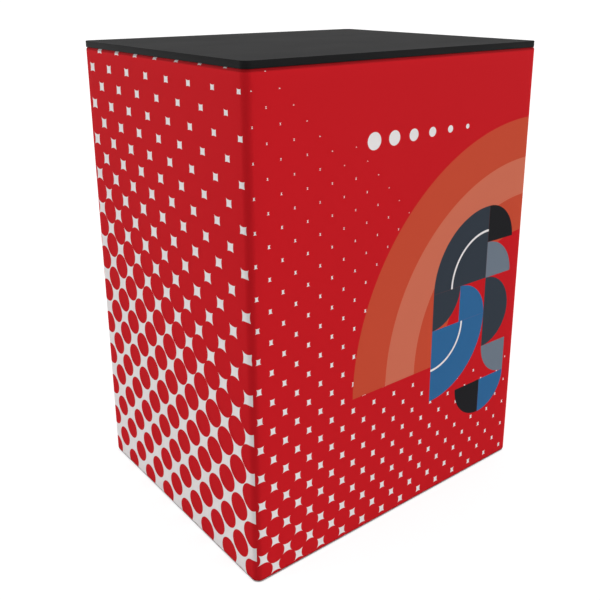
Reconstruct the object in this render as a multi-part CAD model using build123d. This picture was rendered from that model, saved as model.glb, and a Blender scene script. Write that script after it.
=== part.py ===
from build123d import *
import math
import os

# An exhibition counter: a frame of round tubes inside a stretched printed cover, under a
# lift-off top, with a shelf inside and a fabric flap at the back. Millimetres. The origin is
# on the floor at the middle of the outline, +Z is up and the wide printed face looks to -Y.

# Outline
overall_width = 760.0
overall_depth = 620.0
overall_height = 1000.0

# Counter top
top_thickness = 13.0
top_inset = 1.0
top_corner_radius = 15.0
edge_band_thickness = 1.0
laminate_thickness = 0.5

# Frame tubes
tube_radius = 15.0
tube_wall = 1.5
spigot_clearance = 0.15

# Corner connectors: a round hub, three stubs as far as the tube ends, and spigots inside them
stub_radius = 14.6
stub_length = 24.0
spigot_length = 35.0
spigot_wall = 3.4
pad_radius = 9.0

# Rivets, with their heads on the inner side of the tubes
rivet_radius = 1.6
rivet_hole_clearance = 0.05
rivet_head_radius = 3.0
rivet_head_height = 1.0
rivet_reach = 6.0
rivet_from_tube_end = 14.0

# Upright joints: an inner ferrule, riveted below and held by a snap button above
post_joint_height = 500.0
ferrule_length = 120.0
ferrule_wall = 1.9
ferrule_rivet_drop = 30.0
button_rise = 30.0
button_radius = 4.0
button_clearance = 0.08
button_proud = 1.5
button_tip_round = 1.0
button_flange_radius = 5.0
button_flange_thickness = 1.0
button_flange_setback = 1.6
spring_thickness = 0.6
spring_width = 6.0
spring_wall_gap = 0.5
spring_leg_length = 38.0
spring_above_button = 5.0

# Levelling feet and their threaded inserts
cover_lift = 1.5
foot_radius = 10.0
foot_height = 2.5
foot_edge_round = 1.0
stud_radius = 4.0
stud_length = 28.0
stud_clearance = 0.06
insert_radius = 6.0
insert_length = 14.0
bore_clearance = 0.5
bore_end_gap = 3.0

# Cover: its upright edges follow the posts, and strips on the rails make the others crisp
fabric_thickness = 1.0
cover_gap = 0.3
cover_edge_round = 5.0
edge_strip_leg = 10.0
edge_strip_clearance = 0.2
return_width = 36.0
pad_hole_clearance = 1.0
hem_width = 11.0
hem_thickness = 1.0
seam_from_side = 41.0

# Doorway in the cover's back, and the flap over it
doorway_from_seam = 70.0
doorway_from_top = 136.0
doorway_bottom = 110.0
flap_thickness = 0.8
flap_side_lap = 30.0
flap_bottom_lap = 30.0
flap_hinge_rise = 25.0
flap_hinge_gap = 0.5
seam_strip_height = 12.0
seam_strip_thickness = 1.2
hook_thickness = 0.8
loop_thickness = 0.8
touch_tape_width = 20.0
touch_tape_setback = 5.0
tab_width = 24.0
tab_length = 22.0

# Zip in the right back seam
zip_end_margin = 29.0
slot_width = 8.0
chain_width = 5.6
chain_thickness = 1.6
tape_width = 14.0
tape_thickness = 0.5
tape_gap = 0.8
stop_length = 4.0
stop_width = 6.8
stop_thickness = 1.9
slider_length = 12.0
slider_gap = 0.15
slider_wall = 0.8
slider_below_stop = 1.0
pull_barrel_radius = 1.0
pull_barrel_length = 4.6
pull_gap = 0.2
pull_pin_radius = 0.5
pull_pin_clearance = 0.06
pull_width = 4.4
pull_thickness = 0.9
pull_length = 22.0
ear_thickness = 0.8
ear_gap = 0.2
ear_round_over = 0.9

# Locating pins under the top
pin_radius = 5.0
pin_clearance = 0.08
pin_length = 12.0
pin_tip_chamfer = 1.5
pin_end_gap = 1.0
pin_thread_radius = 3.0
pin_thread_length = 10.0
pin_thread_clearance = 0.05

# Shelf and its bearers
clip_above_ferrule = 30.0
bearer_size = 20.0
bearer_wall = 1.5
clip_clearance = 0.05
clip_wall = 2.95
clip_height = 20.0
tongue_clearance = 0.2
tongue_length = 14.0
tongue_root = 0.6
bearer_end_gap = 0.3
screw_radius = 1.75
screw_hole_clearance = 0.05
screw_head_radius = 3.5
screw_head_height = 1.5
screw_reach = 8.0
shelf_thickness = 12.0
shelf_side_gap = 8.0
shelf_post_gap = 4.0
shelf_corner_round = 3.0

# How far a cutting tool runs past what it cuts
overrun = 2.0

# Places that follow from the sizes above
side_x = overall_width / 2
front_y = -overall_depth / 2
chain_proud = chain_thickness - fabric_thickness
back_y = overall_depth / 2 - chain_proud - pull_gap - 2 * pull_barrel_radius
top_underside = overall_height - top_thickness
cover_round = tube_radius + cover_gap + fabric_thickness
inner_y = back_y - fabric_thickness
post_x = side_x - cover_round
post_y = {"front": front_y + cover_round, "back": back_y - cover_round}
rail_z = {"bottom": cover_lift + cover_round, "top": top_underside - cover_round}
bore_radius = tube_radius - tube_wall
spigot_radius = bore_radius - spigot_clearance
seam_x = side_x - seam_from_side
zip_low = cover_lift + zip_end_margin
zip_high = top_underside - zip_end_margin
doorway_half_width = seam_x - doorway_from_seam
doorway_top = overall_height - doorway_from_top
flap_hinge_z = doorway_top + flap_hinge_rise
bearer_height = post_joint_height + ferrule_length / 2 + clip_above_ferrule + clip_height / 2

side_sign = {"left": -1, "right": 1}
inward_y = {"front": 1, "back": -1}
inward_z = {"bottom": 1, "top": -1}
corners = [(side, end) for side in side_sign for end in post_y]


def block(low, high):
    """A box between two opposite corners."""
    sizes = [h - l for l, h in zip(low, high)]
    return Pos(*low) * Box(*sizes, align=(Align.MIN, Align.MIN, Align.MIN))


def rod(radius, base, direction, length):
    """A round bar that starts at base and runs along direction."""
    place = Plane(origin=base, z_dir=direction)
    return place * Cylinder(radius, length, align=(Align.CENTER, Align.CENTER, Align.MIN))


def shifted(point, direction, distance):
    """The point moved along a direction of unit length."""
    return tuple(p + d * distance for p, d in zip(point, direction))


def hub(side, end, level):
    """The point where three tube axes meet."""
    return (side_sign[side] * post_x, post_y[end], rail_z[level])


def arms(side, end, level):
    """Directions of the three tubes that leave a hub."""
    along_x = (-side_sign[side], 0, 0)
    along_y = (0, inward_y[end], 0)
    along_z = (0, 0, inward_z[level])
    return along_x, along_y, along_z


def rivet_places(side, end, level):
    """Each rivet at a hub: a point on a rail's axis and the way its head faces."""
    centre = hub(side, end, level)
    along_x, along_y, _ = arms(side, end, level)
    reach = stub_length + rivet_from_tube_end
    return [(shifted(centre, along_x, reach), along_y), (shifted(centre, along_y, reach), along_x)]


def rivet_hole(point, facing):
    return rod(rivet_radius + rivet_hole_clearance, point, facing, tube_radius + overrun)


def rivet(point, facing):
    shank_base = shifted(point, facing, tube_radius - rivet_reach)
    head_base = shifted(point, facing, tube_radius)
    shank = rod(rivet_radius, shank_base, facing, rivet_reach)
    return shank + rod(rivet_head_radius, head_base, facing, rivet_head_height)


def tube(start, direction, length):
    bar = rod(tube_radius, start, direction, length)
    bore_start = shifted(start, direction, -overrun)
    return bar - rod(bore_radius, bore_start, direction, length + 2 * overrun)


def rail(axis, level, place):
    """A rail between two connectors: axis X at the front or back, axis Y at a side."""
    if axis == "x":
        ends = [("left", place), ("right", place)]
    else:
        ends = [(place, "front"), (place, "back")]
    first = hub(*ends[0], level)
    last = hub(*ends[1], level)
    direction = arms(*ends[0], level)[0 if axis == "x" else 1]
    span = math.dist(first, last) - 2 * stub_length
    solid = tube(shifted(first, direction, stub_length), direction, span)
    for end in ends:
        point, facing = rivet_places(*end, level)[0 if axis == "x" else 1]
        solid -= rivet_hole(point, facing)
    return solid


def connector(side, end, level):
    """A moulded corner: round hub, three stubs, three hollow spigots and a flat pad."""
    centre = hub(side, end, level)
    solid = Pos(*centre) * Sphere(tube_radius)
    for direction in arms(side, end, level):
        solid += rod(stub_radius, centre, direction, stub_length)
        solid += rod(spigot_radius, centre, direction, stub_length + spigot_length)
    outward = (0, 0, -inward_z[level])
    if level == "top":
        pad_face = top_underside
    else:
        pad_face = foot_height
    solid += rod(pad_radius, centre, outward, abs(pad_face - centre[2]))
    for direction in arms(side, end, level):
        hollow_start = shifted(centre, direction, stub_length)
        solid -= rod(spigot_radius - spigot_wall, hollow_start, direction, spigot_length + overrun)
    for point, facing in rivet_places(side, end, level):
        solid -= rivet_hole(point, facing)
    face = (centre[0], centre[1], pad_face)
    inward = (0, 0, inward_z[level])
    if level == "top":
        depth = pin_length + pin_end_gap
        solid -= rod(pin_radius + pin_clearance, face, inward, depth)
    else:
        solid -= rod(insert_radius, face, inward, insert_length)
        solid -= rod(stud_radius + bore_clearance, face, inward, stud_length + bore_end_gap)
    return solid


def post_direction(side):
    """The way buttons, rivets and screws on a post face: to the middle of the counter."""
    return (-side_sign[side], 0, 0)


def post_point(side, end, height):
    return (side_sign[side] * post_x, post_y[end], height)


def lower_post(side, end):
    base = post_point(side, end, rail_z["bottom"] + stub_length)
    solid = tube(base, (0, 0, 1), post_joint_height - base[2])
    point = post_point(side, end, post_joint_height - ferrule_rivet_drop)
    return solid - rivet_hole(point, post_direction(side))


def upper_post(side, end):
    base = post_point(side, end, post_joint_height)
    solid = tube(base, (0, 0, 1), rail_z["top"] - stub_length - base[2])
    facing = post_direction(side)
    button_at = post_point(side, end, post_joint_height + button_rise)
    screw_at = post_point(side, end, bearer_height)
    solid -= rod(button_radius + button_clearance, button_at, facing, tube_radius + overrun)
    return solid - rod(screw_radius + screw_hole_clearance, screw_at, facing, tube_radius + overrun)


def ferrule(side, end):
    """The sleeve inside an upright joint, half its length in each post."""
    base = post_point(side, end, post_joint_height - ferrule_length / 2)
    up = (0, 0, 1)
    solid = rod(spigot_radius, base, up, ferrule_length)
    bore_start = shifted(base, up, -overrun)
    solid -= rod(spigot_radius - ferrule_wall, bore_start, up, ferrule_length + 2 * overrun)
    facing = post_direction(side)
    solid -= rivet_hole(post_point(side, end, post_joint_height - ferrule_rivet_drop), facing)
    button_at = post_point(side, end, post_joint_height + button_rise)
    return solid - rod(button_radius + button_clearance, button_at, facing, tube_radius)


# The button's flange stays inside the ferrule, and the spring lies behind the flange
ferrule_bore = spigot_radius - ferrule_wall
flange_face = ferrule_bore - button_flange_setback
flange_back = flange_face - button_flange_thickness


def snap_button(side, end):
    facing = post_direction(side)
    axis_point = post_point(side, end, post_joint_height + button_rise)
    reach = tube_radius + button_proud - flange_back
    base = shifted(axis_point, facing, flange_back)
    solid = rod(button_radius, base, facing, reach)
    tip = solid.edges().sort_by(Axis(base, facing))[-1]
    solid = fillet(tip, button_tip_round)
    return solid + rod(button_flange_radius, base, facing, button_flange_thickness)


def snap_spring(side, end):
    """A U of spring strip: one leg on the far wall, one behind the button's flange."""
    facing = post_direction(side)
    leg_top = button_rise + spring_above_button
    origin = post_point(side, end, post_joint_height)
    plane = Plane(origin=origin, x_dir=facing, z_dir=(0, -facing[0], 0))
    near = flange_back - spring_thickness / 2
    far = -(ferrule_bore - spring_wall_gap - spring_thickness / 2)
    bend_height = leg_top - spring_leg_length
    bend_radius = (near - far) / 2
    path = Line((near, leg_top), (near, bend_height))
    path += RadiusArc((near, bend_height), (far, bend_height), bend_radius)
    path += Line((far, bend_height), (far, leg_top))
    strip = trace(path, line_width=spring_thickness)
    return extrude(plane * strip, amount=spring_width / 2, both=True)


def foot(side, end):
    """A levelling foot: a low round pad and its threaded stud."""
    base = post_point(side, end, 0)
    up = (0, 0, 1)
    solid = rod(foot_radius, base, up, foot_height)
    solid = fillet(solid.edges().group_by(Axis.Z)[0], foot_edge_round)
    return solid + rod(stud_radius, shifted(base, up, foot_height), up, stud_length)


def foot_insert(side, end):
    base = post_point(side, end, foot_height)
    up = (0, 0, 1)
    solid = rod(insert_radius, base, up, insert_length)
    bore_start = shifted(base, up, -overrun)
    return solid - rod(stud_radius + stud_clearance, bore_start, up, insert_length + 2 * overrun)


def rounded_box(inset):
    """The cover's outer form, set in from its faces."""
    low = (-side_x + inset, front_y + inset, cover_lift + inset)
    high = (side_x - inset, back_y - inset, top_underside - inset)
    box = block(low, high)
    box = fillet(box.edges().filter_by(Axis.Z), cover_round - inset)
    rims = box.edges().group_by(Axis.Z)
    return fillet(rims[0] + rims[-1], cover_edge_round - inset)


def full_height_block(x_low, x_high, y_low, y_high):
    return block((x_low, y_low, -overrun), (x_high, y_high, overall_height))


def cover_shell():
    """The whole cover before its seams: a tight skin with returns at the top and bottom."""
    shell = rounded_box(0) - rounded_box(fabric_thickness)
    mouth_x = side_x - return_width
    shell -= full_height_block(-mouth_x, mouth_x, front_y + return_width, back_y - return_width)
    for side, end in corners:
        top_hub = hub(side, end, "top")
        bottom_hub = hub(side, end, "bottom")
        shell -= rod(pad_radius + pad_hole_clearance, top_hub, (0, 0, 1), cover_round + overrun)
        shell -= rod(foot_radius + pad_hole_clearance, bottom_hub, (0, 0, -1), cover_round + overrun)
    slot_low = (seam_x - slot_width / 2, inner_y - overrun, zip_low)
    slot_high = (seam_x + slot_width / 2, back_y + overrun, zip_high)
    return shell - block(slot_low, slot_high)


back_cut = full_height_block(-seam_x, seam_x, back_y - return_width - overrun, back_y + overrun)


def cover_back(shell):
    """The back panel between the two seams, with the doorway cut out."""
    low = (-doorway_half_width, inner_y - overrun, doorway_bottom)
    high = (doorway_half_width, back_y + overrun, doorway_top)
    return (shell & back_cut) - block(low, high)


def hem(face_z, direction):
    """A tape sewn under the inner edge of a return."""
    outer = return_width - hem_width
    z_low = min(face_z, face_z + direction * hem_thickness)
    z_high = z_low + hem_thickness
    low = (-side_x + outer, front_y + outer, z_low)
    high = (side_x - outer, back_y - outer, z_high)
    ring = block(low, high)
    low = (-side_x + return_width, front_y + return_width, z_low - overrun)
    high = (side_x - return_width, back_y - return_width, z_high + overrun)
    return ring - block(low, high)


def edge_strip(level):
    """A ring in the corner between four rails and the cover's top or bottom edge."""
    inset = fabric_thickness + cover_gap
    reach = inset + edge_strip_leg
    if level == "top":
        z_low = top_underside - reach
    else:
        z_low = cover_lift + inset
    low = (-side_x, front_y, z_low)
    high = (side_x, back_y, z_low + edge_strip_leg)
    ring = rounded_box(inset) & block(low, high)
    ring -= full_height_block(-side_x + reach, side_x - reach, front_y + reach, back_y - reach)
    groove = tube_radius + edge_strip_clearance
    outward = (0, 0, -inward_z[level])
    half_rail_y = (post_y["back"] - post_y["front"]) / 2
    for side, end in corners:
        centre = hub(side, end, level)
        along_x, along_y, _ = arms(side, end, level)
        ring -= Pos(*centre) * Sphere(groove)
        ring -= rod(groove, centre, along_x, post_x)
        ring -= rod(groove, centre, along_y, half_rail_y)
        ring -= rod(pad_radius + pad_hole_clearance, centre, outward, cover_round)
    return ring


def strips_beside_doorway(y_low, thickness):
    """Left, right and bottom strips on the cloth around the doorway."""
    inner = doorway_half_width + touch_tape_setback
    outer = inner + touch_tape_width
    top = flap_hinge_z - flap_hinge_gap - touch_tape_setback
    bottom_high = doorway_bottom - touch_tape_setback
    bottom_low = bottom_high - touch_tape_width
    y_high = y_low + thickness
    strips = [
        block((-outer, y_low, bottom_low), (-inner, y_high, top)),
        block((inner, y_low, bottom_low), (outer, y_high, top)),
        block((-inner, y_low, bottom_low), (inner, y_high, bottom_high)),
    ]
    return strips


flap_inner_y = back_y + hook_thickness + loop_thickness
flap_outer_y = flap_inner_y + flap_thickness
flap_half_width = doorway_half_width + flap_side_lap
flap_low = doorway_bottom - flap_bottom_lap


def back_flap():
    low = (-flap_half_width, flap_inner_y, flap_low)
    high = (flap_half_width, flap_outer_y, flap_hinge_z - flap_hinge_gap)
    return block(low, high)


def flap_seam_strip():
    """The strip of the flap that is sewn to the cover above the fold."""
    low = (-flap_half_width, back_y, flap_hinge_z + flap_hinge_gap)
    high = (flap_half_width, back_y + seam_strip_thickness, low[2] + seam_strip_height)
    return block(low, high)


def flap_tab():
    low = (-tab_width / 2, flap_inner_y, flap_low - tab_length)
    high = (tab_width / 2, flap_outer_y, flap_low)
    return block(low, high)


def zip_tape(direction):
    edges = sorted([seam_x + direction * tape_gap / 2, seam_x + direction * tape_width])
    low = (edges[0], inner_y - tape_thickness, zip_low)
    return block(low, (edges[1], inner_y, zip_high))


def zip_strip(width, thickness, z_low, z_high):
    """Something that lies on the zip tapes, centred on the seam."""
    low = (seam_x - width / 2, inner_y, z_low)
    return block(low, (seam_x + width / 2, inner_y + thickness, z_high))


chain_face = inner_y + chain_thickness
slider_high = zip_high - stop_length - slider_below_stop
slider_low = slider_high - slider_length
slider_half = chain_width / 2 + slider_gap + slider_wall
barrel_y = chain_face + pull_gap + pull_barrel_radius
barrel_z = slider_low - pull_gap - pull_barrel_radius


def zip_slider():
    """A channel that rides over the chain, with two ears and a pin for its pull."""
    plate_y = chain_face + slider_gap
    solid = block((seam_x - slider_half, inner_y + slider_gap, slider_low),
                  (seam_x + slider_half, plate_y + slider_wall, slider_high))
    channel = chain_width / 2 + slider_gap
    solid -= block((seam_x - channel, inner_y - overrun, slider_low - overrun),
                   (seam_x + channel, plate_y, slider_high + overrun))
    ear_start = pull_barrel_length / 2 + ear_gap
    for direction in side_sign.values():
        xs = sorted([seam_x + direction * ear_start, seam_x + direction * (ear_start + ear_thickness)])
        solid += block((xs[0], plate_y, barrel_z - ear_round_over),
                       (xs[1], barrel_y + ear_round_over, slider_low + slider_wall))
    pin_start = (seam_x - ear_start, barrel_y, barrel_z)
    return solid + rod(pull_pin_radius, pin_start, (1, 0, 0), 2 * ear_start)


def zip_pull():
    start = (seam_x - pull_barrel_length / 2, barrel_y, barrel_z)
    solid = rod(pull_barrel_radius, start, (1, 0, 0), pull_barrel_length)
    low = (seam_x - pull_width / 2, barrel_y - pull_thickness / 2, barrel_z - pull_length)
    high = (seam_x + pull_width / 2, barrel_y + pull_thickness / 2, barrel_z)
    solid += block(low, high)
    hole_start = shifted(start, (1, 0, 0), -overrun)
    hole_length = pull_barrel_length + 2 * overrun
    return solid - rod(pull_pin_radius + pull_pin_clearance, hole_start, (1, 0, 0), hole_length)


def top_plate(inset, z_low, z_high):
    """A slab with the counter top's rounded outline, set in from its edge."""
    width = overall_width - 2 * (top_inset + inset)
    depth = overall_depth - 2 * (top_inset + inset)
    outline = RectangleRounded(width, depth, top_corner_radius - inset)
    return extrude(Pos(0, 0, z_low) * outline, amount=z_high - z_low)


core_low = top_underside + laminate_thickness
core_high = overall_height - laminate_thickness


def pin_thread_hole(side, end):
    base = post_point(side, end, top_underside - overrun)
    return rod(pin_thread_radius + pin_thread_clearance, base, (0, 0, 1), overrun + pin_thread_length)


def locating_pin(side, end):
    """A plain pin below the top, with a wood thread that holds it in the board."""
    base = post_point(side, end, top_underside)
    solid = rod(pin_radius, base, (0, 0, -1), pin_length)
    solid = chamfer(solid.edges().group_by(Axis.Z)[0], pin_tip_chamfer)
    return solid + rod(pin_thread_radius, base, (0, 0, 1), pin_thread_length)


clip_inner = tube_radius + clip_clearance
clip_outer = clip_inner + clip_wall


def bearer_clip(side, end):
    """Half a ring on the inner side of a post, with a tongue for the bearer."""
    centre = post_point(side, end, bearer_height)
    base = shifted(centre, (0, 0, -1), clip_height / 2)
    ring = rod(clip_outer, base, (0, 0, 1), clip_height)
    ring -= rod(clip_inner, shifted(base, (0, 0, -1), overrun), (0, 0, 1), clip_height + 2 * overrun)
    turn = math.degrees(math.atan2(inward_y[end], -side_sign[side]))
    keep = block((0, -clip_outer, -clip_height), (clip_outer, clip_outer, clip_height))
    solid = ring & (Pos(*centre) * Rot(0, 0, turn) * keep)
    half = bearer_size / 2 - bearer_wall - tongue_clearance
    ys = sorted([centre[1] + inward_y[end] * (tube_radius + tongue_root),
                 centre[1] + inward_y[end] * (clip_outer + tongue_length)])
    low = (centre[0] - half, ys[0], bearer_height - half)
    solid += block(low, (centre[0] + half, ys[1], bearer_height + half))
    facing = post_direction(side)
    return solid - rod(screw_radius + screw_hole_clearance, centre, facing, clip_outer + overrun)


def bearer_screw(side, end):
    centre = post_point(side, end, bearer_height)
    facing = post_direction(side)
    solid = rod(screw_radius, shifted(centre, facing, clip_outer - screw_reach), facing, screw_reach)
    return solid + rod(screw_head_radius, shifted(centre, facing, clip_outer), facing, screw_head_height)


def shelf_bearer(side):
    x = side_sign[side] * post_x
    half = bearer_size / 2
    bore = half - bearer_wall
    y_low = post_y["front"] + clip_outer + bearer_end_gap
    y_high = post_y["back"] - clip_outer - bearer_end_gap
    solid = block((x - half, y_low, bearer_height - half), (x + half, y_high, bearer_height + half))
    low = (x - bore, y_low - overrun, bearer_height - bore)
    return solid - block(low, (x + bore, y_high + overrun, bearer_height + bore))


def shelf_board():
    """A board on the two bearers, notched round the four posts."""
    edge_x = side_x - fabric_thickness - shelf_side_gap
    y_low = front_y + fabric_thickness + shelf_side_gap
    y_high = inner_y - shelf_side_gap
    z_low = bearer_height + bearer_size / 2
    z_high = z_low + shelf_thickness
    solid = block((-edge_x, y_low, z_low), (edge_x, y_high, z_high))
    reach = tube_radius + shelf_post_gap
    for side, end in corners:
        x, y, _ = post_point(side, end, z_low)
        xs = sorted([x + reach * -side_sign[side], x + side_sign[side] * cover_round])
        ys = sorted([y + reach * inward_y[end], y - cover_round * inward_y[end]])
        solid -= block((xs[0], ys[0], z_low - overrun), (xs[1], ys[1], z_high + overrun))
    return fillet(solid.edges().filter_by(Axis.Z), shelf_corner_round)


parts = {}

# Frame
for level in rail_z:
    for end in post_y:
        parts[f"{level}_rail_{end}"] = rail("x", level, end)
    for side in side_sign:
        parts[f"{level}_rail_{side}"] = rail("y", level, side)
    for side, end in corners:
        parts[f"{level}_connector_{side}_{end}"] = connector(side, end, level)
for side, end in corners:
    parts[f"lower_post_{side}_{end}"] = lower_post(side, end)
    parts[f"upper_post_{side}_{end}"] = upper_post(side, end)
    parts[f"snap_button_{side}_{end}"] = snap_button(side, end)
    parts[f"foot_{side}_{end}"] = foot(side, end)
parts["post_ferrules"] = Compound([ferrule(*corner) for corner in corners])
parts["snap_springs"] = Compound([snap_spring(*corner) for corner in corners])
parts["foot_inserts"] = Compound([foot_insert(*corner) for corner in corners])
rivet_list = []
for side, end in corners:
    for level in rail_z:
        rivet_list += [rivet(*place) for place in rivet_places(side, end, level)]
    joint_point = post_point(side, end, post_joint_height - ferrule_rivet_drop)
    rivet_list.append(rivet(joint_point, post_direction(side)))
parts["frame_rivets"] = Compound(rivet_list)

# Shelf
for side in side_sign:
    parts[f"shelf_bearer_{side}"] = shelf_bearer(side)
parts["bearer_clips"] = Compound([bearer_clip(*corner) for corner in corners])
parts["bearer_screws"] = Compound([bearer_screw(*corner) for corner in corners])
parts["shelf_board"] = shelf_board()

# Cover
shell = cover_shell()
parts["cover_wrap"] = shell - back_cut
parts["cover_back"] = cover_back(shell)
parts["edge_strips"] = Compound([edge_strip(level) for level in rail_z])
parts["cover_hems"] = Compound([
    hem(top_underside - fabric_thickness, -1),
    hem(cover_lift + fabric_thickness, 1),
])
parts["hook_tapes"] = Compound(strips_beside_doorway(back_y, hook_thickness))
parts["flap_seam_strip"] = flap_seam_strip()
parts["zip_tapes"] = Compound([zip_tape(direction) for direction in side_sign.values()])
chain_ends = (zip_low + stop_length, zip_high - stop_length)
parts["zip_chain"] = zip_strip(chain_width, chain_thickness, *chain_ends)
parts["zip_stops"] = Compound([
    zip_strip(stop_width, stop_thickness, zip_low, chain_ends[0]),
    zip_strip(stop_width, stop_thickness, chain_ends[1], zip_high),
])
parts["zip_slider"] = zip_slider()
parts["zip_pull"] = zip_pull()

# Flap
parts["back_flap"] = back_flap()
parts["loop_tapes"] = Compound(strips_beside_doorway(back_y + hook_thickness, loop_thickness))
parts["flap_tab"] = flap_tab()

# Counter top
core = top_plate(edge_band_thickness, core_low, core_high)
backer = top_plate(edge_band_thickness, top_underside, core_low)
for corner in corners:
    core -= pin_thread_hole(*corner)
    backer -= pin_thread_hole(*corner)
parts["top_board"] = core
parts["backer_laminate"] = backer
parts["top_laminate"] = top_plate(edge_band_thickness, core_high, overall_height)
band_bore = top_plate(edge_band_thickness, top_underside - overrun, overall_height + overrun)
parts["top_edge_band"] = top_plate(0, top_underside, overall_height) - band_bore
parts["locating_pins"] = Compound([locating_pin(*corner) for corner in corners])

os.makedirs("parts", exist_ok=True)
for name, shape in parts.items():
    export_step(shape, f"parts/{name}.step")
print(len(parts), "sub-parts written")
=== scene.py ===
import math

import bmesh
import bpy
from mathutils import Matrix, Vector


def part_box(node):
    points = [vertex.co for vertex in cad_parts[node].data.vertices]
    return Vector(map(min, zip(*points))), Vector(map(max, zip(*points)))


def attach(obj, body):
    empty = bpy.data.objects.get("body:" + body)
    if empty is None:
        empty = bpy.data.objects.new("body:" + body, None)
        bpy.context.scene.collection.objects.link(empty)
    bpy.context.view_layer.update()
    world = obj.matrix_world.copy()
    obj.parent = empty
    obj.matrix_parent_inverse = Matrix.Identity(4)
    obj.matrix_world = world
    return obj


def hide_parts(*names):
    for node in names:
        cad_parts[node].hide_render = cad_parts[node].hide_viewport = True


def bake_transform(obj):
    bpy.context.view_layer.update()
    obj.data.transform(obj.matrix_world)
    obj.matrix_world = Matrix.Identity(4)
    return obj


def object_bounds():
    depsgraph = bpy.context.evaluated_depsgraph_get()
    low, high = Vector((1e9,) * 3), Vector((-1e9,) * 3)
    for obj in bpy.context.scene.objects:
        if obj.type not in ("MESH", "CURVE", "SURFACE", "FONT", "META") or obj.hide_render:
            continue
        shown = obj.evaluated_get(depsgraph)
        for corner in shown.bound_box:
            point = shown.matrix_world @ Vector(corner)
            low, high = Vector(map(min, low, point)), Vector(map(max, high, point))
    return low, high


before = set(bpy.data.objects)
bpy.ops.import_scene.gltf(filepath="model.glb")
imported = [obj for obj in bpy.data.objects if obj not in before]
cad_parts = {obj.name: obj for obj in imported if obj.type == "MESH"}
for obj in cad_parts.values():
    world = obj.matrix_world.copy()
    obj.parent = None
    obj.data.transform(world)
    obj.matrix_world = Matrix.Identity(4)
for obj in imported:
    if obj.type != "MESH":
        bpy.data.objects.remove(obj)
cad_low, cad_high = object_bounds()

# An exhibition counter: red printed stretch fabric over a frame of round tubes, a thin dark
# top, and a flap and a zip at the back. Metres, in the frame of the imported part.

MM = 0.001

# Camera: the photograph's place, turn and field of view, for a picture 600 pixels wide
PICTURE_SIZE = 600
CAMERA_PLACE = Vector((-1.0915, -1.3711, 1.1157))
CAMERA_AZIMUTH = math.radians(38.758)
CAMERA_ELEVATION = math.radians(16.849)
FOCAL_PIXELS = 794.5
SENSOR_WIDTH = 36.0
PRINCIPAL_PIXEL = (313.2, 225.0)

# Light: white all round, and brighter from two sides so that the near edge is darker
BASE_LIGHT = 0.74
SIDE_LIGHT = 4.25
LEFT_SHARE = 0.84
SIDE_LIGHT_SHARPNESS = 6.0
FROM_RIGHT = Vector((0.80, -0.60, 0.10)).normalized()
FROM_LEFT = Vector((-0.60, 0.80, 0.10)).normalized()

# Floor: how pale it is around the counter and inside its outline, and its glow around it
FLOOR_HALF = 400.0
FLOOR_PALENESS = 0.28
INNER_PALENESS = 0.80
FLOOR_GLOW = 0.80
FLOOR_INSET = 1.5 * MM

# Sizes of the cover that follow from the solids
wrap_low, wrap_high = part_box("cover_wrap")
flap_low, flap_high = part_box("back_flap")
seam_strip_low, seam_strip_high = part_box("flap_seam_strip")
rail_low, rail_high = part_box("bottom_rail_front")
tape_low, tape_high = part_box("zip_tapes")
TUBE_RADIUS = (rail_high.y - rail_low.y) / 2
COVER_ROUND = rail_low.y + TUBE_RADIUS - wrap_low.y
COVER_HALF_X = wrap_high.x
COVER_HALF_Y = (wrap_high.y - wrap_low.y) / 2
COVER_MIDDLE_Y = (wrap_low.y + wrap_high.y) / 2
EDGE_ROUND = 5 * MM
FABRIC = 1.0 * MM
FLAP_FABRIC = 0.75 * MM
RETURN_WIDTH = 36 * MM
HEM_WIDTH = 11 * MM
HEM_THICKNESS = 1.0 * MM
SEAM_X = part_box("cover_back")[1].x
ZIP_SLOT = 8 * MM
FOOT_HOLE = 11 * MM
PAD_HOLE = 10 * MM
DOORWAY_X = SEAM_X - 70 * MM
DOORWAY_LOW = 110 * MM
DOORWAY_HIGH = cad_high.z - 136 * MM
TAPE_WIDTH = 20 * MM
NET_STEP = 24 * MM
WELD_DISTANCE = 1e-6

# The middle of the near corner's arc is where the print's distances start
QUARTER_ARC = COVER_ROUND * math.pi / 2
ARC_SHORTFALL = COVER_ROUND - QUARTER_ARC / 2
EDGE_ARC = EDGE_ROUND * math.pi / 2


# Meshes

def add_object(name, data):
    piece = bpy.data.objects.new(name, data)
    bpy.context.scene.collection.objects.link(piece)
    return piece


def smooth(piece, sharp_degrees=35):
    piece.data.shade_smooth()
    piece.data.set_sharp_from_angle(angle=math.radians(sharp_degrees))
    return piece


def mesh_piece(name, parts):
    """One object from several lists of (vertices, faces)."""
    vertices, faces = [], []
    for points, polygons in parts:
        start = len(vertices)
        vertices += [tuple(p) for p in points]
        faces += [[start + index for index in polygon] for polygon in polygons]
    mesh = bpy.data.meshes.new(name)
    mesh.from_pydata(vertices, [], faces)
    mesh.update()
    return add_object(name, mesh)


def net_piece(name, net):
    """One object from a bmesh, which is freed."""
    mesh = bpy.data.meshes.new(name)
    net.to_mesh(mesh)
    net.free()
    return add_object(name, mesh)


def keep_modified(piece):
    """Replaces the piece's mesh by what its modifiers make of it."""
    depsgraph = bpy.context.evaluated_depsgraph_get()
    mesh = bpy.data.meshes.new_from_object(piece.evaluated_get(depsgraph))
    piece.modifiers.clear()
    piece.data = mesh
    return piece


def thicken(piece, thickness, inner_material=0):
    """Gives a sheet its thickness, away from the side that its faces look to."""
    for _ in range(inner_material + 1):
        piece.data.materials.append(None)
    solidify = piece.modifiers.new("thickness", "SOLIDIFY")
    solidify.thickness = thickness
    solidify.offset = -1
    solidify.use_even_offset = True
    solidify.material_offset = inner_material
    return keep_modified(piece)


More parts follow.
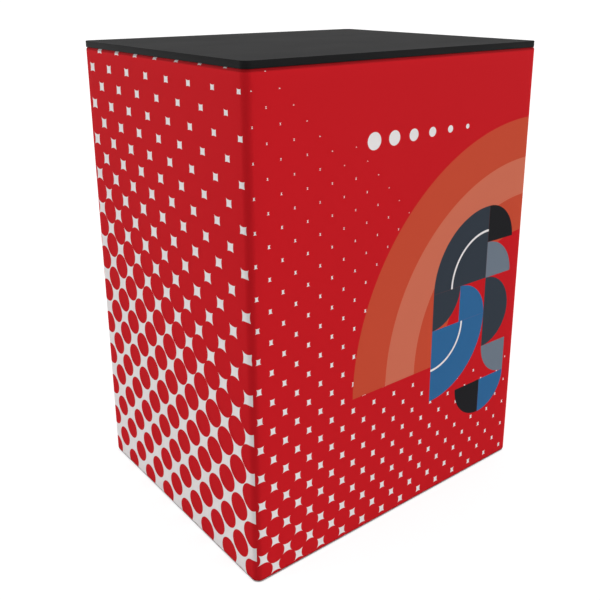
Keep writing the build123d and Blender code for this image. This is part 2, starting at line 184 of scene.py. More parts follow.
def spaced(start, end, step):
    """Even places from start to end, no further apart than step."""
    count = max(1, math.ceil(abs(end - start) / step))
    return [start + (end - start) * i / count for i in range(count + 1)]


def slab(low, high):
    """Vertices and faces of a box."""
    corners = [(x, y, z) for x in (low[0], high[0]) for y in (low[1], high[1]) for z in (low[2], high[2])]
    faces = [(0, 1, 3, 2), (4, 6, 7, 5), (0, 4, 5, 1), (2, 3, 7, 6), (0, 2, 6, 4), (1, 5, 7, 3)]
    return corners, faces


def soft_slabs(name, boxes, rounding):
    """Flat boxes with rounded edges, such as tapes."""
    piece = mesh_piece(name, [slab(low, high) for low, high in boxes])
    bevel = piece.modifiers.new("rounding", "BEVEL")
    bevel.width = rounding
    bevel.segments = 2
    return smooth(keep_modified(piece))


def rounded_loop(half_x, half_y, radius, inset, z):
    """Points round a rectangle with rounded corners, set in from its edge."""
    steps = 10
    turn = max(radius - inset, 0)
    points = []
    for quarter, (sx, sy) in enumerate([(1, 1), (-1, 1), (-1, -1), (1, -1)]):
        centre = (sx * (half_x - max(radius, inset)), sy * (half_y - max(radius, inset)))
        for step in range(steps + 1):
            angle = (quarter + step / steps) * math.pi / 2
            points.append((centre[0] + turn * math.cos(angle), centre[1] + turn * math.sin(angle), z))
    return points


def weld(piece):
    """Joins vertices that lie on each other and turns every face outward."""
    net = bmesh.new()
    net.from_mesh(piece.data)
    bmesh.ops.remove_doubles(net, verts=net.verts, dist=WELD_DISTANCE)
    bmesh.ops.dissolve_degenerate(net, edges=net.edges, dist=WELD_DISTANCE)
    bmesh.ops.recalc_face_normals(net, faces=net.faces)
    net.to_mesh(piece.data)
    net.free()
    return piece


def swept_plate(name, half_x, half_y, radius, section, closed=False, centre_y=0.0):
    """A plate or a closed ring whose edge follows (inset, height) points from its underside up."""
    loops = [rounded_loop(half_x, half_y, radius, inset, z) for inset, z in section]
    count = len(loops[0])
    vertices = [(x, y + centre_y, z) for loop in loops for x, y, z in loop]
    faces = []
    pairs = list(zip(range(len(loops)), range(1, len(loops))))
    if closed:
        pairs.append((len(loops) - 1, 0))
    else:
        faces.append(list(reversed(range(count))))
        faces.append([(len(loops) - 1) * count + index for index in range(count)])
    for lower, upper in pairs:
        for i in range(count):
            j = (i + 1) % count
            faces.append([lower * count + i, lower * count + j, upper * count + j, upper * count + i])
    return smooth(weld(mesh_piece(name, [(vertices, faces)])))


def stitch_row(start, end, outward):
    """Dashes of thread along a line on a surface that faces outward."""
    length, gap, width, lift = 2.8 * MM, 1.4 * MM, 0.55 * MM, 0.22 * MM
    start, end, outward = Vector(start), Vector(end), Vector(outward)
    along = (end - start).normalized()
    across = along.cross(outward)
    count = int((end - start).length / (length + gap))
    step = (end - start) / count
    parts = []
    for i in range(count):
        middle = start + step * (i + 0.5)
        tips = [middle - along * length / 2, middle + along * length / 2]
        sides = [middle + across * width / 2, middle + outward * lift,
                 middle - across * width / 2, middle - outward * lift]
        faces = []
        for j in range(4):
            faces.append((0, 2 + (j + 1) % 4, 2 + j))
            faces.append((1, 2 + j, 2 + (j + 1) % 4))
        parts.append((tips + sides, faces))
    return parts


# Shader fields

class Field:
    """A number that varies over a surface, worked out by math nodes."""

    def __init__(self, tree, socket):
        self.tree = tree
        self.socket = socket

    def __add__(self, other):
        return compute(self.tree, "ADD", self, other)

    def __sub__(self, other):
        return compute(self.tree, "SUBTRACT", self, other)

    def __rsub__(self, other):
        return compute(self.tree, "SUBTRACT", other, self)

    def __mul__(self, other):
        return compute(self.tree, "MULTIPLY", self, other)

    def __truediv__(self, other):
        return compute(self.tree, "DIVIDE", self, other)

    __radd__ = __add__
    __rmul__ = __mul__


def set_input(tree, socket, value):
    """Links an input to a field or to a node's output, or gives it a value."""
    if isinstance(value, Field):
        value = value.socket
    if isinstance(value, bpy.types.NodeSocket):
        tree.links.new(value, socket)
    else:
        socket.default_value = value


def add_node(tree, kind, inputs=None, **settings):
    """A shader node with its settings, and with inputs named or numbered in a dictionary."""
    node = tree.nodes.new("ShaderNode" + kind)
    for name, value in settings.items():
        setattr(node, name, value)
    for key, value in (inputs or {}).items():
        set_input(tree, node.inputs[key], value)
    return node


def compute(tree, operation, *values, clamp=False):
    node = add_node(tree, "Math", dict(enumerate(values)), operation=operation, use_clamp=clamp)
    return Field(tree, node.outputs[0])


def largest(first, second):
    return compute(first.tree, "MAXIMUM", first, second)


def smallest(first, second):
    return compute(first.tree, "MINIMUM", first, second)


def distance(across, down):
    return compute(across.tree, "SQRT", across * across + down * down)


def magnitude(field):
    return compute(field.tree, "ABSOLUTE", field)


def rounded(field):
    return compute(field.tree, "ROUND", field)


def sine(field):
    return compute(field.tree, "SINE", field)


def over_zero(field, softness=0.6 * MM):
    """0 below zero and 1 above it, with a soft edge of the given width."""
    return compute(field.tree, "MULTIPLY_ADD", field, 1 / softness, 0.5, clamp=True)


# Materials

class Surface:
    """A node material: its tree, its shader, and short ways to feed it."""

    def __init__(self, name, color, roughness, specular=0.5, sheen=0.0, metallic=0.0):
        self.material = bpy.data.materials.new(name)
        self.material.use_nodes = True
        self.material.diffuse_color = (*color, 1)
        self.tree = self.material.node_tree
        self.shader = self.tree.nodes["Principled BSDF"]
        self.feed("Base Color", (*color, 1))
        self.feed("Roughness", roughness)
        self.feed("Specular IOR Level", specular)
        self.feed("Sheen Weight", sheen)
        self.feed("Metallic", metallic)

    def feed(self, name, value):
        set_input(self.tree, self.shader.inputs[name], value)

    def place(self, scale=(1, 1, 1)):
        """The surface's own coordinates, in metres times a scale."""
        own = add_node(self.tree, "TexCoord").outputs["Object"]
        return add_node(self.tree, "Mapping", {"Vector": own, "Scale": scale}).outputs["Vector"]

    def axes(self, vector):
        node = add_node(self.tree, "SeparateXYZ", {"Vector": vector})
        return [Field(self.tree, output) for output in node.outputs]

    def print_place(self):
        """Distance round the cover from the near corner, and height."""
        node = add_node(self.tree, "UVMap", uv_map="print")
        across, height, _ = self.axes(node.outputs["UV"])
        return across, height

    def noise(self, scale, detail=2.0, roughness=0.5, stretch=(1, 1, 1)):
        place = self.place(stretch)
        inputs = {"Vector": place, "Scale": scale, "Detail": detail, "Roughness": roughness}
        return Field(self.tree, add_node(self.tree, "TexNoise", inputs).outputs["Fac"])

    def cells(self, scale):
        node = add_node(self.tree, "TexVoronoi", {"Vector": self.place(), "Scale": scale})
        return Field(self.tree, node.outputs["Distance"])

    def mix(self, first, second, share):
        """A colour between two, each one a value or the output of a node."""
        ends = [end if isinstance(end, bpy.types.NodeSocket) else (*end, 1) for end in (first, second)]
        inputs = {"Factor": share, 6: ends[0], 7: ends[1]}
        node = add_node(self.tree, "Mix", inputs, data_type="RGBA", clamp_factor=True)
        return node.outputs[2]

    def shade(self, color, amount):
        """Shows a colour made darker or lighter by a field near 1."""
        node = add_node(self.tree, "VectorMath", {0: color, "Scale": amount}, operation="SCALE")
        self.feed("Base Color", node.outputs[0])

    def bump(self, height, depth, strength=1.0):
        """Adds relief on top of what the surface already has."""
        node = add_node(self.tree, "Bump", {"Strength": strength, "Distance": depth, "Height": height})
        previous = self.shader.inputs["Normal"].links
        if previous:
            set_input(self.tree, node.inputs["Normal"], previous[0].from_socket)
        self.feed("Normal", node.outputs["Normal"])

    def add_slack(self):
        """The faint hollows of cloth that isn't pulled quite evenly."""
        slack = self.noise(7.0, detail=1.0, stretch=(1, 1, 0.35))
        self.bump(slack, 1.2 * MM, strength=0.35)


RED = (0.550, 0.0100, 0.0155)
PRINTED_WHITE = (0.80, 0.765, 0.765)
WARM_ORANGE = (0.55, 0.070, 0.033)
PALE_ORANGE = (0.60, 0.152, 0.090)
SLATE = (0.034, 0.044, 0.058)
DENIM = (0.030, 0.130, 0.300)
NEAR_BLACK = (0.014, 0.014, 0.016)
GREY_BLUE = (0.155, 0.190, 0.235)

# Halftone: the distances between discs, across and down, and the place of one disc
SIDE_PITCH = (81.0 * MM, 79.1 * MM)
FRONT_PITCH = (57.2 * MM, 60.1 * MM)
SIDE_DISC = (56.7 * MM, 36.1 * MM)
FRONT_DISC = (43.4 * MM, 154.6 * MM)


def halftone(across, down, pitch, first_disc, radius_at):
    """How white the print is: staggered red discs that shrink over the face leave white between them."""
    columns = (across - first_disc[0]) / pitch[0]
    rows = (down - first_disc[1]) / pitch[1]
    one_way = rounded(columns + rows)
    other_way = rounded(columns - rows)
    disc_column = (one_way + other_way) * 0.5
    disc_row = (one_way - other_way) * 0.5
    off_across = (columns - disc_column) * pitch[0]
    off_down = (rows - disc_row) * pitch[1]
    disc_across = disc_column * pitch[0] + first_disc[0]
    disc_down = disc_row * pitch[1] + first_disc[1]
    radius = radius_at(disc_across, disc_down)
    return over_zero(distance(off_across, off_down) - radius)


def side_place(across, down):
    """A side's place in the even pattern, which is drawn out towards the floor."""
    even_across = across * (1.0115 - 0.051 * down) + 0.0067 * down - 1.1 * MM
    even_down = down * (1.0296 - 0.0502 * down) - 0.0063 * across - 1.0 * MM
    return even_across, even_down


def front_place(across, down):
    """The front's place in the even pattern, which leans a little."""
    even_across = across * 1.0049 - 0.0056 * down + 2.1 * MM
    even_down = down * 0.9992 + 0.0047 * across + 0.2 * MM
    return even_across, even_down


def side_radius(across, down):
    """Disc radius on the counter's sides."""
    return 36.1 * MM - 0.0067 * across - 0.0107 * down


def front_radius(across, down):
    """Disc radius on the front: specks of white stay high up, and none far from the near edge."""
    most, closed_from, overlap = 28.2 * MM, 29.7 * MM, 20 * MM
    radius = 29.4 * MM + 0.00674 * across - 0.00888 * down
    return smallest(radius, most) + over_zero(radius - closed_from) * overlap


def painted_fold_shade(height):
    """Painted shade: below 1 under the top plate, where the cloth turns in under it, and a painted
    contact shadow where it turns under itself at the floor.
    """
    top_fold, floor_fold, softness = wrap_high.z - 5 * MM, wrap_low.z + 4 * MM, 3 * MM
    # How dark the painted shade under the top and the painted contact shadow at the floor are
    top_painted_shade, floor_painted_shadow = 0.55, 0.6
    under_top = over_zero(height - top_fold, softness) * top_painted_shade
    at_floor = over_zero(floor_fold - height, softness) * floor_painted_shadow
    return 1.0 - largest(under_top, at_floor)


def disc(x, z, centre_x, centre_z, radius):
    return over_zero(radius - distance(x - centre_x, z - centre_z))


def ring(x, z, centre_x, centre_z, inner, outer):
    return disc(x, z, centre_x, centre_z, outer) - disc(x, z, centre_x, centre_z, inner)


def rectangle(x, z, x_low, x_high, z_low, z_high):
    inside_x = smallest(over_zero(x - x_low), over_zero(x_high - x))
    inside_z = smallest(over_zero(z - z_low), over_zero(z_high - z))
    return smallest(inside_x, inside_z)


def add_arcs(surface, color, x, z):
    """Warm quarter arcs round a place at the front's right edge."""
    centre_x, centre_z, front_edge = 762 * MM, 318 * MM, 1 * MM
    upper_front = smallest(over_zero(z - centre_z), over_zero(x - front_edge))
    for inner, outer, tone in [
        (430, 520, WARM_ORANGE), (346, 430, PALE_ORANGE), (262, 346, WARM_ORANGE), (0, 262, RED),
    ]:
        arc = ring(x, z, centre_x, centre_z, inner * MM, outer * MM)
        color = surface.mix(color, tone, smallest(arc, upper_front))
    return color


def add_grid(surface, color, x, z):
    """Half and quarter discs on a grid of squares, and two thin white arcs."""
    module = 84 * MM
    grid_x, grid_z = 468 * MM, 150 * MM
    # Each: column, row, width and height of its box, place of its centre in the box, colour
    for column, row, width, height, corner_x, corner_z, tone in [
        (0, 4, 2, 2, 1, 0, SLATE), (2, 4, 1, 1, 0, 0, GREY_BLUE), (2, 5, 1, 1, 0, 0, NEAR_BLACK),
        (0, 3, 1, 1, 0, 1, SLATE), (1, 3, 1, 1, 0, 0, DENIM), (2, 2, 1, 2, 0, 0.5, SLATE),
        (0, 1, 2, 2, 0, 1, DENIM), (2, 1, 1, 1, 1, 1, GREY_BLUE), (1, 0, 1, 1, 1, 1, NEAR_BLACK),
        (2, 0, 1, 1, 0, 1, DENIM),
    ]:
        low_x, low_z = grid_x + column * module, grid_z + row * module
        high_x, high_z = low_x + width * module, low_z + height * module
        centre_x = low_x + corner_x * width * module
        centre_z = low_z + corner_z * height * module
        box = rectangle(x, z, low_x, high_x, low_z, high_z)
        color = surface.mix(color, tone, smallest(box, disc(x, z, centre_x, centre_z, width * module)))
    # Each: column and row of its centre, inner radius, and the rows between which it shows
    line = 0.06
    for column, row, inner, low_row, high_row in [(2, 4, 1.30, 4, 6), (0, 3, 1.08, 1, 3)]:
        centre_x, centre_z = grid_x + column * module, grid_z + row * module
        arc = ring(x, z, centre_x, centre_z, inner * module, (inner + line) * module)
        low_z, high_z = grid_z + low_row * module, grid_z + high_row * module
        box = rectangle(x, z, grid_x, grid_x + 2 * module, low_z, high_z)
        color = surface.mix(color, PRINTED_WHITE, smallest(arc, box))
    return color


def add_beads(surface, color, x, z):
    """A row of white dots that shrink to the right."""
    first_x, spacing, height = 286 * MM, 52 * MM, 838 * MM
    first_radius, shrinkage = 17 * MM, 2.4 * MM
    for index in range(6):
        bead = disc(x, z, first_x + spacing * index, height, first_radius - shrinkage * index)
        color = surface.mix(color, PRINTED_WHITE, bead)
    return color


def printed_fabric():
    """Stretch cloth with the halftone all round, and a plain geometric design on the front."""
    surface = Surface("printed_fabric", RED, 0.78, specular=0.04)
    across, height = surface.print_place()
    down = wrap_high.z - height
    front_width = 2 * (COVER_HALF_X - ARC_SHORTFALL)
    from_left_edge = ARC_SHORTFALL - across
    from_right_edge = across - front_width + ARC_SHORTFALL
    side_across = largest(from_left_edge, from_right_edge)
    x = across + ARC_SHORTFALL
    side_dots = halftone(*side_place(side_across, down), SIDE_PITCH, SIDE_DISC, side_radius)
    front_dots = halftone(*front_place(x, down), FRONT_PITCH, FRONT_DISC, front_radius)
    side = surface.mix(RED, PRINTED_WHITE, side_dots)
    front = surface.mix(RED, PRINTED_WHITE, front_dots)
    for add_motif in (add_arcs, add_grid, add_beads):
        front = add_motif(surface, front, x, height)
    on_side = over_zero(side_across - ARC_SHORTFALL, 0.2 * MM)
    color = surface.mix(front, side, on_side)
    tint = surface.noise(2.2, detail=3.0) * 0.05 + 0.975
    # The print's colour times its random tint and the painted shade under the top and at the floor
    surface.shade(color, tint * painted_fold_shade(height))
    rib, course = 0.9 * MM, 0.7 * MM
    knit = sine(across * (math.tau / rib)) * sine(height * (math.tau / course))
    surface.bump(knit * 0.5 + 0.5, 0.05 * MM, strength=0.5)
    surface.add_slack()
    return surface.material


def plain_fabric(name, color, rib=0.9 * MM):
    """Cloth with a fine weave along X and Z, or along Y on the sides."""
    surface = Surface(name, color, 0.8, specular=0.06)
    x, y, z = surface.axes(surface.place())
    weave = sine((x + y) * (math.tau / rib)) * sine(z * (math.tau / rib))
    surface.bump(weave * 0.5 + 0.5, 0.06 * MM, strength=0.5)
    surface.add_slack()
    tint = surface.noise(3.0, detail=3.0) * 0.06 + 0.97
    surface.shade(color, tint)
    return surface.material


def webbing(name, color):
    """Narrow woven tape with diagonal ribs."""
    rib = 1.6 * MM
    surface = Surface(name, color, 0.85, specular=0.3, sheen=0.15)
    x, y, z = surface.axes(surface.place())
    one_way = sine((x + y + z) * (math.tau / rib))
    other_way = sine((x + y - z) * (math.tau / rib))
    surface.bump(largest(one_way, other_way) * 0.5 + 0.5, 0.12 * MM, strength=0.7)
    fuzz = surface.noise(900.0)
    surface.shade(color, fuzz * 0.6 + 0.7)
    return surface.material


def touch_tape(name, color, scale, depth):
    """Hook or loop tape: a dense pile of small loops."""
    surface = Surface(name, color, 0.9, specular=0.2, sheen=0.3)
    pile = surface.cells(scale)
    surface.bump(pile, depth)
    surface.shade(color, pile * 0.9 + 0.55)
    return surface.material


def plastic(name, color, roughness, grain=380.0, specular=0.5):
    """Moulded or extruded plastic with a fine spark-eroded grain and faint handling marks."""
    surface = Surface(name, color, roughness, specular)
    texture = surface.noise(grain, detail=3.0, roughness=0.6)
    surface.bump(texture, 0.04 * MM, strength=0.6)
    marks = surface.noise(14.0, detail=4.0)
    surface.feed("Roughness", marks * 0.16 + (roughness - 0.08))
    surface.shade(color, marks * 0.3 + 0.85)
    return surface.material


def metal(name, color, roughness, grain=(1, 1, 1)):
    """Bare or plated metal; a grain drawn out along one axis looks brushed or extruded."""
    surface = Surface(name, color, roughness, metallic=1.0)
    lines = surface.noise(600.0, detail=3.0, roughness=0.7, stretch=grain)
    surface.feed("Roughness", lines * 0.22 + (roughness - 0.11))
    surface.bump(lines, 0.01 * MM, strength=0.4)
    wear = surface.noise(9.0, detail=5.0)
    surface.shade(color, wear * 0.16 + 0.92)
    return surface.material


def laminate():
    """High-pressure laminate: a fine dead-matt texture with the faintest rubbed patches."""
    color = (0.022, 0.022, 0.0223)
    surface = Surface("matte_laminate", color, 0.62, specular=0.012)
    pores = surface.noise(900.0, detail=3.0, roughness=0.6)
    surface.bump(pores, 0.03 * MM, strength=0.5)
    rubbed = surface.noise(5.0, detail=4.0, roughness=0.6, stretch=(1, 1.6, 1))
    surface.feed("Roughness", rubbed * 0.14 + 0.55)
    surface.shade(color, rubbed * 0.12 + 0.94)
    return surface.material


def fibreboard():
    """Raw board whose fibres lie flat."""
    surface = Surface("fibreboard", (0.42, 0.29, 0.17), 0.85)
    fibres = surface.noise(420.0, detail=4.0, roughness=0.7, stretch=(1, 1, 3))
    surface.bump(fibres, 0.1 * MM, strength=0.6)
    surface.feed("Base Color", surface.mix((0.30, 0.19, 0.10), (0.52, 0.38, 0.23), fibres))
    return surface.material


def melamine():
    """Black board facing with a fine pore pattern."""
    color = (0.030, 0.030, 0.032)
    surface = Surface("black_melamine", color, 0.5)
    pores = surface.noise(90.0, detail=3.0, stretch=(1, 12, 12))
    surface.bump(pores, 0.05 * MM, strength=0.5)
    surface.feed("Roughness", pores * 0.2 + 0.4)
    surface.shade(color, pores * 0.5 + 0.75)
    return surface.material


printed = printed_fabric()
plain_red = plain_fabric("plain_red_fabric", RED)
cloth_back = plain_fabric("unprinted_back", (0.56, 0.33, 0.32))
black_tape = webbing("black_tape", (0.014, 0.014, 0.015))
red_thread = plain_fabric("red_thread", (0.40, 0.012, 0.016), rib=0.4 * MM)
black_thread = plain_fabric("black_thread", (0.02, 0.02, 0.02), rib=0.4 * MM)
hook_pile = touch_tape("hook_pile", (0.018, 0.018, 0.019), 1100.0, 0.4 * MM)
loop_pile = touch_tape("loop_pile", (0.016, 0.016, 0.017), 620.0, 0.5 * MM)
black_plastic = plastic("black_plastic", (0.016, 0.016, 0.017), 0.5)
edge_plastic = plastic("edge_plastic", (0.0085, 0.0085, 0.0090), 0.5, specular=0.06)
soft_grey_plastic = plastic("soft_grey_plastic", (0.30, 0.30, 0.30), 0.6, grain=120.0)
zip_plastic = plastic("zip_plastic", (0.020, 0.020, 0.021), 0.35)
zip_metal = metal("black_lacquered_metal", (0.030, 0.030, 0.032), 0.35)
plated_steel = metal("plated_steel", (0.56, 0.56, 0.57), 0.30)
brass = metal("turned_brass", (0.72, 0.52, 0.24), 0.30)
aluminium = {axis: metal(f"aluminium_{axis}", (0.70, 0.71, 0.72), 0.36, grain)
             for axis, grain in (("x", (0.02, 1, 1)), ("y", (1, 0.02, 1)), ("z", (1, 1, 0.02)))}
laminate_face = laminate()
board = fibreboard()
shelf_face = melamine()


def finish_piece(piece, slot, body, material, *nodes):
    """Materials, slot, body and the CAD nodes that the piece stands for; the slot argument is not used.
    """
    held = piece.data.materials
    for index, each in enumerate(material if isinstance(material, list) else [material]):
        if index < len(held):
            held[index] = each
        else:
            held.append(each)
    if body:
        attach(piece, body)
    if nodes:
        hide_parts(*nodes)
    return piece


def sew(name, lines, slot, body, thread):
    """Stitches along lines, each with its start, its end and the way that its surface faces."""
    parts = [dash for line in lines for dash in stitch_row(*line)]
    return finish_piece(mesh_piece(name, parts), slot, body, thread)


# Cover

class Stop:
    """A point of the cover's plan on the rails' axes, and where it moves as the cloth turns inward."""

    def __init__(self, x, y, inward):
        self.point = Vector((x, y))
        self.inward = Vector(inward)

    def moved(self, amount):
        return self.point + self.inward * amount


class Column:
    """One upright line of the cover's net, between two stops of the plan."""

    def __init__(self, first, last, share, normal, along):
        self.first, self.last, self.share = first, last, share
        self.normal = Vector(normal)
        self.along = along

    def place(self, inset, z):
        extra = max(inset - COVER_ROUND, 0)
        base = self.first.moved(extra).lerp(self.last.moved(extra), self.share)
        point = base + self.normal * max(COVER_ROUND - inset, 0)
        return (point.x, point.y, z)


def cover_section():
    """The cover from its lower return to its upper one: inset from the face, height, and distance."""
    turns = 6
    low, high = wrap_low.z, wrap_high.z
    beside_tube = COVER_ROUND + 4 * MM
    insets = (RETURN_WIDTH, RETURN_WIDTH - HEM_WIDTH, beside_tube, COVER_ROUND)
    rows = [(inset, low, low + EDGE_ROUND - EDGE_ARC - (inset - EDGE_ROUND)) for inset in insets]
    for step in range(turns + 1):
        angle = step / turns * math.pi / 2
        inset = EDGE_ROUND * (1 - math.sin(angle))
        z = low + EDGE_ROUND * (1 - math.cos(angle))
        rows.append((inset, z, low + EDGE_ROUND - EDGE_ROUND * (math.pi / 2 - angle)))
    mirrored = [(inset, low + high - z, low + high - along) for inset, z, along in reversed(rows)]
    walls = spaced(low + EDGE_ROUND, high - EDGE_ROUND, NET_STEP)[1:-1]
    for z in sorted(walls + [tape_low.z, tape_high.z, DOORWAY_LOW, DOORWAY_HIGH]):
        rows.append((0.0, z, z))
    return rows + mirrored


def wrap_columns():
    """Columns of the wrap from the left back seam round the front to the right back seam."""
    turns = 8
    half_x = COVER_HALF_X - COVER_ROUND
    front, back = wrap_low.y + COVER_ROUND, wrap_high.y - COVER_ROUND
    stops = [
        Stop(-SEAM_X, back, (0, -1)), Stop(-half_x, back, (1, -1)), Stop(-half_x, front, (1, 1)),
        Stop(half_x, front, (-1, 1)), Stop(half_x, back, (-1, -1)), Stop(SEAM_X, back, (0, -1)),
    ]
    near_stop = stops[2]
    normals = [(0, 1), (-1, 0), (0, -1), (1, 0), (0, 1)]
    columns, along = [], 0.0
    for index, normal in enumerate(normals):
        first, last = stops[index], stops[index + 1]
        length = (last.point - first.point).length
        for place in spaced(0, length, NET_STEP):
            columns.append(Column(first, last, place / length, normal, along + place))
        along += length
        if index == 0:
            columns.insert(1, Column(first, last, ZIP_SLOT / 2 / length, normal, ZIP_SLOT / 2))
        if index == len(normals) - 1:
            edge = length - ZIP_SLOT / 2
            columns.insert(-1, Column(first, last, edge / length, normal, along - ZIP_SLOT / 2))
            continue
        for step in range(1, turns):
            angle = step / turns * math.pi / 2
            following = normals[index + 1]
            turned = Vector(normal) * math.cos(angle) + Vector(following) * math.sin(angle)
            columns.append(Column(last, last, 0, turned, along + COVER_ROUND * angle))
        if last is near_stop:
            near_corner = along + QUARTER_ARC / 2
        along += QUARTER_ARC
    for column in columns:
        column.along -= near_corner
    return columns


def cover_net(name, columns, rows, left_out):
    """A sheet over columns and rows, with the print's distances as its UV map."""
    net = bmesh.new()
    uv = net.loops.layers.uv.new("print")
    grid = [[net.verts.new(column.place(inset, z)) for inset, z, _ in rows] for column in columns]
    for i in range(len(columns) - 1):
        for j in range(len(rows) - 1):
            if left_out(columns[i], columns[i + 1], rows[j][1], rows[j + 1][1], rows[j][0]):
                continue
            places = ((i, j), (i + 1, j), (i + 1, j + 1), (i, j + 1))
            face = net.faces.new([grid[column][row] for column, row in places])
            for loop, (column, row) in zip(face.loops, places):
                loop[uv].uv = (columns[column].along, rows[row][2])
    bmesh.ops.remove_doubles(net, verts=net.verts, dist=WELD_DISTANCE)
    bmesh.ops.delete(net, geom=[v for v in net.verts if not v.link_faces], context="VERTS")
    return net_piece(name, net)


def path_length(points):
    return sum((Vector(b) - Vector(a)).length for a, b in zip(points, points[1:]))


def cut_holes(piece):
    """Round holes in the returns: for the top connectors' pads above, for the feet below."""
    steps, reach = 48, 8 * MM
    circle = [(math.cos(math.tau * i / steps), math.sin(math.tau * i / steps)) for i in range(steps)]
    parts = []
    for level, radius in ((wrap_low.z, FOOT_HOLE), (wrap_high.z, PAD_HOLE)):
        for sx in (-1, 1):
            for y in (wrap_low.y + COVER_ROUND, wrap_high.y - COVER_ROUND):
                x = sx * (COVER_HALF_X - COVER_ROUND)
                rim = [(x + radius * cx, y + radius * cy) for cx, cy in circle]
                points = [(px, py, level + dz) for dz in (-reach, reach) for px, py in rim]
                faces = [[i, (i + 1) % steps, steps + (i + 1) % steps, steps + i] for i in range(steps)]
                faces += [list(reversed(range(steps))), list(range(steps, 2 * steps))]
                parts.append((points, faces))
    cutter = weld(mesh_piece("hole_cutter", parts))
    boolean = piece.modifiers.new("holes", "BOOLEAN")
    boolean.operation = "DIFFERENCE"
    boolean.solver = "EXACT"
    boolean.object = cutter
    keep_modified(piece)
    bpy.data.objects.remove(cutter)


def in_zip_slot(z_low, z_high):
    middle = (z_low + z_high) / 2
    return tape_low.z < middle < tape_high.z


section = cover_section()


def make_wrap():
    """The printed cloth round the front and both sides, up to the back seams."""
    columns = wrap_columns()

    def left_out(first, second, z_low, z_high, inset):
        in_slot = second is columns[-1] and in_zip_slot(z_low, z_high)
        return in_slot and inset == 0

    wrap = cover_net("printed_wrap", columns, section, left_out)
    plan = path_length([column.place(0, 0) for column in columns])
    thicken(wrap, FABRIC, inner_material=1)
    cut_holes(wrap)
    smooth(wrap, 60)
    finish_piece(wrap, "cover_fabric", "frame", [printed, cloth_back], "cover_wrap")


def make_back_panel():
    """The back between the seams, with its doorway."""
    back = wrap_high.y - COVER_ROUND
    ends = Stop(SEAM_X, back, (0, -1)), Stop(-SEAM_X, back, (0, -1))
    places = spaced(-SEAM_X, SEAM_X, NET_STEP) + [SEAM_X - ZIP_SLOT / 2, -DOORWAY_X, DOORWAY_X]
    from_seam = [SEAM_X - x for x in sorted(places, reverse=True)]
    columns = [Column(*ends, along / (2 * SEAM_X), (0, 1), along) for along in from_seam]

    def left_out(first, second, z_low, z_high, inset):
        middle_x = SEAM_X - (first.along + second.along) / 2
        middle_z = (z_low + z_high) / 2
        if inset > 0:
            return False
        in_doorway = abs(middle_x) < DOORWAY_X and DOORWAY_LOW < middle_z < DOORWAY_HIGH
        return in_doorway or (first is columns[0] and in_zip_slot(z_low, z_high))

    panel = cover_net("back_panel", columns, section, left_out)
    thicken(panel, FABRIC, inner_material=1)
    smooth(panel, 60)
    finish_piece(panel, "cover_fabric", "frame", [plain_red, cloth_back], "cover_back")


make_wrap()
make_back_panel()


# Tapes sewn to the cover

def make_hems():
    """Elastic tape sewn under the inner edge of each return, at the top and at the bottom."""
    low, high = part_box("cover_hems")
    inner, outer, edge = RETURN_WIDTH, RETURN_WIDTH - HEM_WIDTH, 0.3 * MM
    for name, bottom in (("bottom_hem_tape", low.z), ("top_hem_tape", high.z - HEM_THICKNESS)):
        top = bottom + HEM_THICKNESS
        tape_section = [
            (outer + edge, bottom), (outer, bottom + edge), (outer, top - edge), (outer + edge, top),
            (inner - edge, top), (inner, top - edge), (inner, bottom + edge), (inner - edge, bottom),
        ]
        tape = swept_plate(name, COVER_HALF_X, COVER_HALF_Y, 0, tape_section,
                           closed=True, centre_y=COVER_MIDDLE_Y)
        finish_piece(tape, "trim_fabric", "frame", black_tape, "cover_hems")


def doorway_strips(name, material, node, body):
    """Strips of touch tape left, right and below the doorway."""
    low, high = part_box(node)
    inner = high.x - TAPE_WIDTH
    boxes = [((low.x, low.y, low.z), (-inner, high.y, high.z)),
             ((inner, low.y, low.z), (high.x, high.y, high.z)),
             ((-inner, low.y, low.z), (inner, high.y, low.z + TAPE_WIDTH))]
    strips = soft_slabs(name, boxes, 0.25 * MM)
    return finish_piece(strips, "trim_fabric", body, material, node)


def make_doorway_binding():
    """A folded tape over the doorway's cut edge, with a row of stitches on each side."""
    width, proud, reach = 4.5 * MM, 0.45 * MM, 0.6 * MM
    y_low, y_high = wrap_high.y - FABRIC - proud, wrap_high.y + proud
    x, low, high = DOORWAY_X, DOORWAY_LOW, DOORWAY_HIGH
    boxes = [((-x - width, y_low, low - width), (-x + reach, y_high, high + width)),
             ((x - reach, y_low, low - width), (x + width, y_high, high + width)),
             ((-x + reach, y_low, low - width), (x - reach, y_high, low + reach)),
             ((-x + reach, y_low, high - reach), (x - reach, y_high, high + width))]
    binding = soft_slabs("doorway_binding", boxes, 0.4 * MM)
    finish_piece(binding, "trim_fabric", "frame", black_tape)
    side, z_low, z_high = x + width / 2, low - width / 2, high + width / 2
    lines = []
    for y, outward in ((y_high, (0, 1, 0)), (y_low, (0, -1, 0))):
        lines += [((row_x, y, z_low), (row_x, y, z_high), outward) for row_x in (-side, side)]
        lines += [((-side, y, z), (side, y, z), outward) for z in (z_low, z_high)]
    sew("doorway_stitches", lines, "trim_fabric", "frame", black_thread)


def make_seam_stitches():
    """Twin rows of thread beside the left back seam, and a row round the zip."""
    beside, half_end = 3 * MM, 7 * MM
    y, outward = wrap_high.y, (0, 1, 0)
    seam_low, seam_high = wrap_low.z + EDGE_ROUND, wrap_high.z - EDGE_ROUND
    zip_left, zip_right = SEAM_X - ZIP_SLOT / 2 - beside, SEAM_X + ZIP_SLOT / 2 + beside
    lines = [((x, y, seam_low), (x, y, seam_high), outward) for x in (-SEAM_X - beside, -SEAM_X + beside)]
    lines += [((x, y, tape_low.z), (x, y, tape_high.z), outward) for x in (zip_left, zip_right)]
    lines += [((SEAM_X - half_end, y, z), (SEAM_X + half_end, y, z), outward)
              for z in (tape_low.z - beside, tape_high.z + beside)]
    sew("seam_stitches", lines, "cover_fabric", "frame", red_thread)


make_hems()
doorway_strips("hook_strips", hook_pile, "hook_tapes", "frame")
make_doorway_binding()
make_seam_stitches()


# Zip

